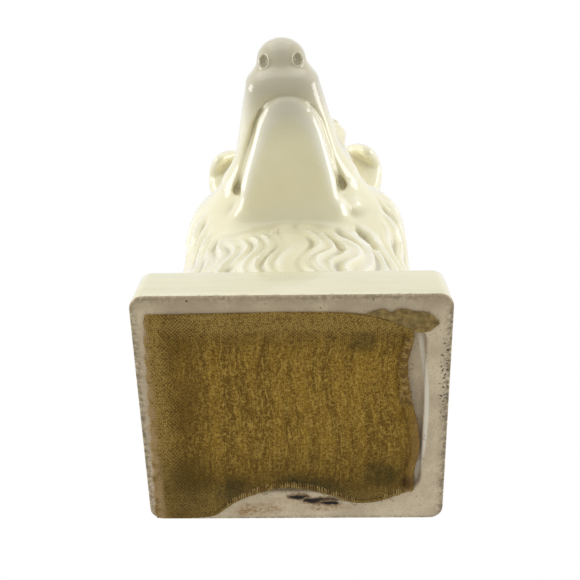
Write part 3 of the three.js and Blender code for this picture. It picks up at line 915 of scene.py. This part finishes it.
# The holes are painted, not cut: their near-black is painted shade inside them, with a dirty ring round each.
for cx, cy, rx, ry in HOLES:
    ring, hole = spot(cx, cy, rx + 1, ry + 0.7, 5.0, 1.6, 0.3), spot(cx, cy, rx, ry, 5.0)
    colour = layered(colour, (ring, HOLE_RING), (hole, HOLE_SHADE))
dense_specks = ramp(mottle(where, 900, 2), 0.57, 0.63) * spot(*SPECK_BAND, 2.0)
few_specks = ramp(mottle(where, 700, 1), 0.745, 0.765)
colour = tint(larger(dense_specks, few_specks) * 0.9, colour, SPECK)
finish_with({"Base Color": colour, "Roughness": 0.82, "IOR": 1.45}, patches + grain * 0.5, 0.5, 0.0004)

# %% [markdown]
# ## Base block
# The base is an oblong block that narrows a little upwards, with softened edges and a shallow
# recess underneath. A boolean could cut the recess. Joining the mouths of two open boxes, one
# inside the other, keeps every edge clean, and each edge can be rounded by its own radius.

# %% Base block
WIDTH, DEPTH, HEIGHT = 100, 90.4, 17.8
TAPER = 0.03
RECESS_SIDES, RECESS_DEPTH = (-42, 42, -34, 33), 3
BLOCK_CORNER, TOP_EDGE, FOOT_EDGE = 4.6, 1.8, 0.8
RECESS_CORNER, RECESS_FLOOR_EDGE, RECESS_LIP = 6, 1.3, 0.9
UNGLAZED_HEIGHT = 0.75


def rounded(form, chosen, radius, segments):
    bmesh.ops.bevel(
        form, geom=[e for e in form.edges if chosen(*(v.co for v in e.verts))], affect="EDGES",
        offset=radius, offset_type="OFFSET", segments=segments, profile=0.5, material=-1, clamp_overlap=True,
    )


def near_recess(place):
    return abs(place.x) < 43 and abs(place.y) < 35


def upright(a, b):
    return abs(a.z - b.z) > 1


def level_at(z):
    return lambda a, b: abs(a.z - z) < 0.01 and abs(b.z - z) < 0.01


def oblong(sides, height, corner):
    left, right, front, rear = sides
    form = bmesh.new()
    bmesh.ops.create_cube(form, size=1)
    bmesh.ops.scale(form, verts=form.verts, vec=(right - left, rear - front, height))
    bmesh.ops.translate(form, verts=form.verts, vec=((left + right) / 2, (front + rear) / 2, height / 2))
    rounded(form, upright, corner, 8)
    return form


def open_below(form):
    lowest = min(form.faces, key=lambda f: f.calc_center_median().z)
    bmesh.ops.delete(form, geom=[lowest], context="FACES_ONLY")


well = oblong(RECESS_SIDES, RECESS_DEPTH, RECESS_CORNER)
rounded(well, level_at(RECESS_DEPTH), RECESS_FLOOR_EDGE, 4)
open_below(well)
bmesh.ops.reverse_faces(well, faces=well.faces)

block = oblong((-WIDTH / 2, WIDTH / 2, -DEPTH / 2, DEPTH / 2), HEIGHT, BLOCK_CORNER)
rounded(block, level_at(HEIGHT), TOP_EDGE, 6)
rounded(block, level_at(0), FOOT_EDGE, 3)
open_below(block)
block.from_mesh(close(well))
bmesh.ops.bridge_loops(block, edges=[e for e in block.edges if e.is_boundary])
rounded(block, lambda a, b: level_at(0)(a, b) and near_recess(a) and near_recess(b), RECESS_LIP, 3)
for v in block.verts:
    v.co.x *= 1 - TAPER * v.co.z / HEIGHT
    v.co.y *= 1 - TAPER * v.co.z / HEIGHT
for face in block.faces:
    middle = face.calc_center_median()
    in_well = near_recess(middle) and middle.z < RECESS_DEPTH + 0.1
    face.material_index = 1 if in_well or middle.z < UNGLAZED_HEIGHT else 0
    face.smooth = True
bmesh.ops.recalc_face_normals(block, faces=block.faces)
bmesh.ops.translate(block, verts=block.verts, vec=(0, 0, LIFT))
bmesh.ops.scale(block, verts=block.verts, vec=(MM, MM, MM))
print("base block", len(block.faces), "faces, open edges", sum(e.is_boundary for e in block.edges))
base = add_piece("base_block", close(block), [glaze, bare_clay], "dog_bust")

# %% [markdown]
# ## The cloth under the base
# A plain woven brown cloth was glued on the rim all round. It still holds at the left and front
# and sags into the recess. Along the right edge it has let go and rolled up, and the rear edge
# has drawn in between two places that still hold. A cloth simulation would drape it anew. These
# edges are old and stiff with glue, so a grid is shaped to the outline and height they have now.

# %% Outline of the cloth
LEFT_EDGE = [(-40, -45.1), (-28, -46.0), (-8, -46.5), (18, -47.3), (39, -47.9)]
FRONT_EDGE = [(-48, -39.0), (-20, -39.4), (8, -39.5), (17, -39.2), (24, -38.2), (30.4, -36.2), (36, -33.6),
              (42, -32)]
RIGHT_EDGE = [(-40, 35.6), (-36, 37.0), (-30, 37.8), (-20, 36.2), (-6, 37.6), (7, 40.3), (17, 40.8),
              (24, 39.6), (30, 39.6)]
REAR_EDGE = [(-48, 43.4), (-33, 43.3), (-27.8, 42.4), (-21, 36.9), (-12.7, 32.8), (0.2, 31.2), (11.4, 33.6),
             (19.4, 36.9), (27.5, 36.6), (35.5, 33.2), (42, 31.4)]


def along_edge(edge, at):
    """A smooth curve through the edge's points, as a value for each place along it."""
    known, value = np.array(edge, float).T
    tangent = np.gradient(value, known)
    i = np.clip(np.searchsorted(known, at) - 1, 0, len(known) - 2)
    gap = known[i + 1] - known[i]
    t = np.clip((at - known[i]) / gap, 0, 1)
    t2, t3 = t * t, t * t * t
    return ((2 * t3 - 3 * t2 + 1) * value[i] + (t3 - 2 * t2 + t) * gap * tangent[i]
            + (3 * t2 - 2 * t3) * value[i + 1] + (t3 - t2) * gap * tangent[i + 1])


# %% Height of the cloth
ON_RIM, SUNKEN = 0.62, 1.95


def into_recess(x, y):
    """How far a place lies inside the recess, in millimetres."""
    left, right, front, rear = RECESS_SIDES
    return np.minimum(np.minimum(x - left, right + 0.8 - x), np.minimum(y - front, rear - y))


def rolled(z, inward, over_recess, loose):
    """Curls a loose edge up and back: a rounded roll that hangs lowest, then a furrow behind it."""
    low, radius = lerp(0.52, 0.9, over_recess), lerp(0.5, 1.3, over_recess)
    across = (inward - radius) / radius
    roll = np.where(inward < 2 * radius, low + radius * across**2,
                    lerp(low + radius, z, smoothstep(inward, 2 * radius, 3 * radius + 2)))
    return lerp(z, roll, loose)


def cloth_place(u, v):
    """Place of the cloth's middle layer, in millimetres above the shelf."""
    y = lerp(-39.2, 36.0, v)
    for _ in range(3):
        x = lerp(along_edge(LEFT_EDGE, y) + 0.3 * np.sin(y * 0.9), along_edge(RIGHT_EDGE, y), u)
        y = lerp(along_edge(FRONT_EDGE, x), along_edge(REAR_EDGE, x), v)
    ripple = 0.16 * np.sin(x * 0.33 + 0.5 * np.sin(y * 0.11))
    ripple += 0.10 * np.sin(x * 0.71 + y * 0.05 + 1.3)
    rim_wave = 0.10 * np.sin(x * 0.5 + 0.4) * np.sin(y * 0.37)
    sag = smoothstep(into_recess(x, y) + 1.5 * np.sin(0.21 * x + 0.13 * y), -2.0, 13.0)
    z = lerp(ON_RIM + rim_wave, SUNKEN + ripple, sag)
    right, rear = along_edge(RIGHT_EDGE, y), along_edge(REAR_EDGE, x)
    z = rolled(z, rear - y, smoothstep(into_recess(x, rear), -0.6, 3), smoothstep(x, -31, -24))
    z = rolled(z, right - x, smoothstep(into_recess(right, y), -0.6, 3), smoothstep(y, -34, -28))
    return np.stack([x, y, z], axis=-1)


# %% Cloth
CLOTH_THICK = 0.8
COLUMNS, ROWS = 170, 160
CLOTH_CUT = (94.0, 84.0)


def woven_grid(columns, rows, placed):
    """A grid of cloth. The function gives each of its corners a place in millimetres and a UV."""
    form = bmesh.new()
    bmesh.ops.create_grid(form, x_segments=columns, y_segments=rows, size=0.5)
    places, weave = placed(np.array([v.co[:2] for v in form.verts]) + 0.5)
    for v, place_mm in zip(form.verts, places):
        v.co = Vector(place_mm) * MM
    layer = form.loops.layers.uv.new("weave")
    for face in form.faces:
        face.smooth = True
        for corner in face.loops:
            corner[layer].uv = weave[corner.vert.index]
    return form, places


def cloth_placed(grid):
    finer_at_loose_edges = 1 - (1 - grid) ** 1.35
    return cloth_place(*finer_at_loose_edges.T), finer_at_loose_edges


sheet_form, spots = woven_grid(COLUMNS, ROWS, cloth_placed)
cloth_area = sum(f.calc_area() for f in sheet_form.faces)
cloth_mesh = close(sheet_form)
keep(cloth_mesh, "recess_reach", into_recess(spots[:, 0], spots[:, 1]))
lowest, highest = spots[:, 2].min().round(2), spots[:, 2].max().round(2)
print("cloth area", round(cloth_area * 1e4, 1), "cm2, heights", lowest, "to", highest, "mm")

# %% [markdown]
# ## Cloth finish
# The cloth is a coarse plain weave. Only where it lies on the rim are its threads clear, with painted
# light on the thread tops and painted shade in the gaps. Inside the recess it is fuzzy and warmer
# brown, with painted shade along the recess's edges, and it is darker at the rear. Modelled threads
# would run to millions of faces, so the threads are sines of the cloth's own UV map, one bump for
# each crossing. Green-black glue stains lie at a few places, and a painted shadow lies in the rear
# right corner.

# %% Cloth finish
THREAD_GAP = 0.68
WARM_DARK, WARM_LIGHT = (0.335, 0.180, 0.018), (0.480, 0.278, 0.032)
WARM_STREAK, FUZZ, PALE_THREAD = (0.175, 0.088, 0.008), (0.80, 0.52, 0.110), (0.78, 0.51, 0.100)
GREYED_DARK, GREYED_LIGHT, GREYED_THREAD = (0.34, 0.200, 0.030), (0.56, 0.36, 0.075), (0.68, 0.47, 0.15)
SHADE_NEAR_WALL, LEFT_SHADE_BAND, GAP_SHADE = (0.120, 0.060, 0.008), (0.170, 0.088, 0.008), (0.075, 0.040, 0.008)
LIT_THREAD_TOP, GRIT, REAR = (0.64, 0.43, 0.13), (0.095, 0.048, 0.006), (0.105, 0.062, 0.012)
POCKET_SHADOW, FRAYED, GLUE_STAIN = (0.050, 0.024, 0.006), (0.62, 0.42, 0.20), (0.040, 0.044, 0.014)
LOOSE_EDGE = (0.42, 0.25, 0.075)
POCKET_SHADOW_SPOT = (38.5, 28.5, 3.2, 3.0)
STAINS = ((6, 30, 11, 4.5, 0.7), (-1, 27.5, 6, 4, 0.4), (29, 25, 6.5, 5, 0.6), (-21.5, 31, 6, 6, 0.6),
          (22.5, -28.0, 4.5, 5, 0.5))

brown_cloth, where = new_material("brown_cloth")
px, py, smear, spot = underside_places(where)
uv = parts(Value(put(where.tree, "ShaderNodeUVMap", uv_map="weave")))
wobble = (mottle(where, 150, 2) - 0.5) * 0.9
warp, weft = (uv[k] * (CLOTH_CUT[k] / THREAD_GAP) + wobble for k in (0, 1))
waves = (warp * math.pi).sum("SINE") * (weft * math.pi).sum("SINE")
crossing, over = abs(waves).sum("POWER", 0.7), ramp(waves, -0.3, 0.3)


def streaks(along_warp, along_weft, seed):
    """A noise stretched along the threads."""
    return mottle(vector_of(warp * along_warp, weft * along_weft, seed), 1.0, 2, 0.6)


warp_tone, weft_tone = streaks(0.9, 0.10, 0.0), streaks(0.05, 0.9, 7.0)
broad_streak = streaks(0.16, 0.010, 3.0)
fuzz, grit, patch = mottle(where, 900, 2, 0.7), mottle(where, 1300, 2, 0.6), mottle(where, 70, 4, 0.6)
reach = kept(where, "recess_reach")
in_recess = ramp(reach, -0.5, 3.0)

# %% Colours of the cloth, from the plain cloth to the stains on it
warm = layered(
    WARM_DARK,
    (ramp(patch, 0.30, 0.70), WARM_LIGHT),
    (ramp(broad_streak, 0.42, 0.58, 0.0, 0.7), WARM_STREAK),
    (ramp(fuzz, 0.44, 0.70, 0.0, 0.62), FUZZ),
    (ramp(warp_tone, 0.48, 0.68, 0.0, 0.65), PALE_THREAD),
)
# Painted shade along the left side of the recess, where the cloth sinks in.
left_shade_band = ramp(px, -24, -36) * ramp(px, -42, -39)
colour = layered(
    GREYED_DARK,
    (ramp(warp_tone, 0.35, 0.68), GREYED_LIGHT),
    (ramp(weft_tone, 0.45, 0.7, 0.0, 0.5), GREYED_THREAD),
    (in_recess, warm),
    # Painted shade where the cloth sinks into the recess along its edges.
    (ramp(reach, 12.0, 2.0) * in_recess * ramp(patch, 0.3, 0.6, 0.15, 0.5), SHADE_NEAR_WALL),
    (left_shade_band * ramp(patch, 0.35, 0.6, 0.2, 0.6), LEFT_SHADE_BAND),
    # Painted shade in the gaps between threads and painted light on the thread tops, strongest on the rim.
    (ramp(crossing, 0.45, 0.05) * ramp(reach, 7.0, -1.0, 0.30, 0.95), GAP_SHADE),
    (over * ramp(reach, 7.0, -1.0, 0.14, 0.62), LIT_THREAD_TOP),
    (ramp(grit, 0.52, 0.34, 0.0, 0.6), GRIT),
    (ramp(py, 8, 32) * ramp(patch, 0.3, 0.62, 0.25, 0.6), REAR),
    # Painted shadow in the rear right corner of the cloth.
    (spot(*POCKET_SHADOW_SPOT, 2.0, 1.5, 0.0) * 0.8, POCKET_SHADOW),
    (ramp(px, -43.5, -46.0) * ramp(smear, 0.36, 0.56, 0.25, 0.85), FRAYED),
)
for *oval, dark in STAINS:
    stain = spot(*oval, 2.6, 1.5, -0.4) * ramp(warp_tone, 0.2, 0.6, 0.6, 1.0)
    colour = tint(stain * dark, colour, GLUE_STAIN)
colour = tint(ramp(px + smear * 3.0, 37.5, 41.5) * 0.5, colour, LOOSE_EDGE)
fibres = {"Roughness": 0.92, "Sheen Weight": 0.03, "Sheen Roughness": 0.5, "Specular IOR Level": 0.1}
finish_with({"Base Color": colour, **fibres}, crossing + grit * 1.2, 0.75, 0.0004)

cloth = add_piece("pad_cloth", cloth_mesh, [brown_cloth], "base_pad")
wall = cloth.modifiers.new("thickness", "SOLIDIFY")
wall.thickness, wall.offset = CLOTH_THICK * MM, 0

# %% [markdown]
# ## Thread ends and the torn strip
# Along the loose edges the cut threads curl over as a ribbed band, like a tiny comb, and a few
# have come free as fibres. Each is a short curve with a round section, made a mesh with all its
# neighbours. At the front right corner a strip of the cloth was torn off and stayed in the glue.

# %% Threads as curves
def threads_mesh(name, paths, radius):
    """One mesh of many round threads. Each path is a list of places in millimetres."""
    curve = bpy.data.curves.new(name, "CURVE")
    curve.dimensions, curve.use_fill_caps = "3D", True
    curve.bevel_depth, curve.bevel_resolution = radius * MM, 1
    for path, widths in paths:
        spline = curve.splines.new("POLY")
        spline.points.add(len(path) - 1)
        for point, place_mm, wide in zip(spline.points, path, widths):
            point.co, point.radius = (*(np.array(place_mm) * MM), 1), wide
    made = final_mesh(linked(name, curve))
    made.shade_smooth()
    return made


def cloth_height(x, y):
    """Height of the cloth's lower face at a place, from the nearest grid point."""
    nearest = ((spots[:, 0] - x) ** 2 + (spots[:, 1] - y) ** 2).argmin()
    return spots[nearest, 2] - CLOTH_THICK / 2


THREAD_WIDTHS = (0.75, 1, 1.05, 1, 0.9, 0.5)
THREAD_RISE, LOWEST_THREAD = 0.12, 0.34


def thread_over_edge(x, y, inward, length):
    """A thread end from just outside the edge to a little way in, lying on the cloth's lower face."""
    path = []
    for s in np.linspace(-0.25, length, len(THREAD_WIDTHS)):
        on_cloth = max(s, 0.05)
        z = cloth_height(x + inward[0] * on_cloth, y + inward[1] * on_cloth) + 0.02
        rise = THREAD_RISE * math.sin(math.pi * min(1, max(s, 0) / length))
        path.append((x + inward[0] * s, y + inward[1] * s, max(z - rise, LOWEST_THREAD)))
    return path, THREAD_WIDTHS


# %% Thread ends
THREAD_STEP, THREAD_RADIUS = 0.78, 0.30
comb = []
for i in range(33):
    y = -29.5 + i * THREAD_STEP + 0.16 * (scatter(i, 11) - 0.5)
    x, lean = float(along_edge(RIGHT_EDGE, y)), 0.25 * (scatter(i, 12) - 0.5) - 0.12
    comb.append(thread_over_edge(x, y, (-1, lean), 2.7 + 0.7 * scatter(i, 13)))
for i in range(81):
    x = -23 + i * THREAD_STEP + 0.16 * (scatter(i, 14) - 0.5)
    glued_down = 21 < x < 29.5
    if not glued_down:
        y, lean = float(along_edge(REAR_EDGE, x)), 0.25 * (scatter(i, 15) - 0.5)
        comb.append(thread_over_edge(x, y, (lean, -1), 2.1 + 0.6 * scatter(i, 16)))
thread_ends_mesh = threads_mesh("thread_ends", comb, THREAD_RADIUS)

# %% Stray fibres
STRAY_STEP, STRAY_RADIUS = 0.42, 0.10
PULLED_LOOP = [(37.0, -13.5), (35.6, -11.2), (34.6, -8.0), (34.4, -4.8), (35.2, -2.6), (36.4, -2.4),
               (37.2, -4.2), (37.4, -7.0)]
stray = []
for i in range(16):
    if i % 2:
        y = -28 + 52 * scatter(i, 21)
        x, way = float(along_edge(RIGHT_EDGE, y)) - 0.4, 0.3
    else:
        x = -24 + 62 * scatter(i, 22)
        y, way = float(along_edge(REAR_EDGE, x)) - 0.3, 1.5
    path = []
    heading = way + 2.4 * (scatter(i, 23) - 0.5)
    for k in range(8):
        path.append((x, y, 0.45 + 0.25 * math.sin(k * 0.9 + i)))
        heading += 1.1 * (scatter(i * 8 + k, 24) - 0.5)
        x, y = x + STRAY_STEP * math.cos(heading), y + STRAY_STEP * math.sin(heading)
    stray.append((path, (1,) * 8))
stray.append(([(x, y, cloth_height(x, y) - 0.10) for x, y in PULLED_LOOP], (1.8,) * 8))
stray_mesh = threads_mesh("stray_fibres", stray, STRAY_RADIUS)
print(len(comb), "thread ends and", len(stray), "stray fibres")

# %% Torn strip in the front right corner
STRIP_FRONT = [(23.3, -38.9), (26, -39.9), (28.8, -40.3), (30.6, -39.2), (32.5, -40.2), (38, -39.5),
               (43.2, -38.2), (45.6, -35.6)]
STRIP_REAR = [(23.3, -38.6), (26, -37.7), (28.8, -37.0), (30.6, -36.2), (32.5, -35.2), (38, -32.2),
              (43.2, -32.9), (45.6, -35.2)]
STRIP_HEIGHT, STRIP_THICK = 0.92, 0.5


def rough(*place):
    return noise.noise(Vector(place))


def strip_placed(grid):
    places = []
    for u, w in grid:
        x = lerp(STRIP_FRONT[0][0], STRIP_FRONT[-1][0], u)
        ragged = 0.35 * rough(x * 1.7, 4.0 * round(w), 0) + 0.15 * rough(x * 5, 9.0 * round(w), 2)
        y = lerp(along_edge(STRIP_FRONT, x) + ragged, along_edge(STRIP_REAR, x) + ragged, w)
        places.append((x + 0.3 * rough(y, x, 1), y, STRIP_HEIGHT + 0.22 * rough(x * 1.3, y * 1.3, 5)))
    return places, [(x / CLOTH_CUT[0], y / CLOTH_CUT[1]) for x, y, _ in places]


strip_form, _ = woven_grid(64, 18, strip_placed)
bmesh.ops.solidify(strip_form, geom=strip_form.faces[:], thickness=STRIP_THICK * MM)
bmesh.ops.recalc_face_normals(strip_form, faces=strip_form.faces)
strip_mesh = close(strip_form)

# %% [markdown]
# The free threads are a little paler than the cloth, and the strip is soaked with old glue, which
# makes it olive and slightly glossy with dark grains.

# %% Thread and strip finishes
DARK_OCHRE, OCHRE = (0.19, 0.11, 0.025), (0.44, 0.295, 0.095)
SOAKED_DARK, SOAKED_LIGHT, SOAKED_OLIVE = (0.19, 0.115, 0.022), (0.42, 0.285, 0.085), (0.22, 0.155, 0.04)

ochre_thread, where = new_material("ochre_thread")
colour = tint(ramp(mottle(where, 420, 3), 0.38, 0.62), DARK_OCHRE, OCHRE)
finish_with({"Base Color": colour, "Roughness": 0.9, "Sheen Weight": 0.15, "Specular IOR Level": 0.2},
            mottle(where, 3200, 2), 0.5, 0.0002)

soaked_strip, where = new_material("soaked_strip")
lumps = mottle(where, 520, 4, 0.7)
olive = ramp(mottle(where, 190, 3), 0.45, 0.65, 0.0, 0.5)
colour = layered(SOAKED_DARK, (ramp(lumps, 0.34, 0.66), SOAKED_LIGHT), (olive, SOAKED_OLIVE))
finish_with({"Base Color": colour, "Roughness": 0.7, "Coat Weight": 0.1}, lumps, 0.9, 0.0006)

thread_ends = add_piece("thread_ends", thread_ends_mesh, [ochre_thread], "base_pad")
stray_fibres = add_piece("stray_fibres", stray_mesh, [ochre_thread], "base_pad")
torn_strip = add_piece("torn_strip", strip_mesh, [soaked_strip], "base_pad")

# %% [markdown]
# ## Studio
# The photograph has a pure white ground and soft light all round, a little weaker from below. One
# broad lamp stands in front, two smaller ones at the sides give the glaze its small lights, and a
# weak one stands behind. A single lamp would be simpler, but the glaze would then look dull. The
# floor carries the bookend in the other views. Seen from underneath it lets the camera through,
# as the glass of a light table would.

# %% Floor and world
floor_form = bmesh.new()
bmesh.ops.create_grid(floor_form, x_segments=1, y_segments=1, size=3)
floor = linked("floor", close(floor_form))
pale_floor, where = new_material("pale_floor")
tree = where.tree
tone = tint(mottle(where, 3, 2), (0.80, 0.80, 0.79), (0.84, 0.84, 0.83))
top = Value(put(tree, "ShaderNodeBsdfDiffuse", {"Color": tone}))
clear = Value(put(tree, "ShaderNodeBsdfTransparent"))
from_below = Value(put(tree, "ShaderNodeNewGeometry"), "Backfacing")
far = Value(put(tree, "ShaderNodeVectorMath", {0: where}, operation="LENGTH"), "Value")
hidden = larger(from_below, ramp(far, 0.25, 0.6))
either = Value(put(tree, "ShaderNodeMixShader", {0: hidden, 1: top, 2: clear}))
put(tree, "ShaderNodeOutputMaterial", {"Surface": either})
floor.data.materials.append(pale_floor)
floor.visible_shadow = floor.visible_diffuse = floor.visible_glossy = False

DIM_BELOW, BRIGHT_ABOVE = 0.555, 0.85
world = bpy.data.worlds.new("white_room")
world.use_nodes = True
tree = world.node_tree
tree.nodes.clear()
seen = Value(put(tree, "ShaderNodeLightPath"), "Is Camera Ray")
from_above = ramp(parts(coordinates(tree, "Generated"))[2], -0.7, 0.8, DIM_BELOW, BRIGHT_ABOVE)
glow = Value(put(tree, "ShaderNodeBackground", {"Color": (1, 1, 1, 1), "Strength": larger(from_above, seen)}))
put(tree, "ShaderNodeOutputWorld", {"Surface": glow})
bpy.context.scene.world = world
bpy.context.scene.view_settings.view_transform = "Standard"

# %% Lamps
MIDDLE = (0, -0.01, 0.08)
LAMPS = (("front", (-0.10, -0.82, 0.34), 1.10, 2.5), ("left", (-0.62, -0.10, 0.12), 0.40, 1.75),
         ("right", (0.62, -0.06, 0.14), 0.40, 1.75), ("back", (0.06, 0.60, 0.40), 0.50, 1.0))
for name, at, size, power in LAMPS:
    lamp = bpy.data.lights.new(name, "AREA")
    lamp.shape, lamp.size, lamp.energy = "SQUARE", size, power
    holder = linked(name, lamp)
    holder.location = at
    holder.rotation_euler = (Vector(at) - Vector(MIDDLE)).to_track_quat("Z", "Y").to_euler()
    holder.visible_camera = False
    print(name, "lamp of", power, "W at", at)
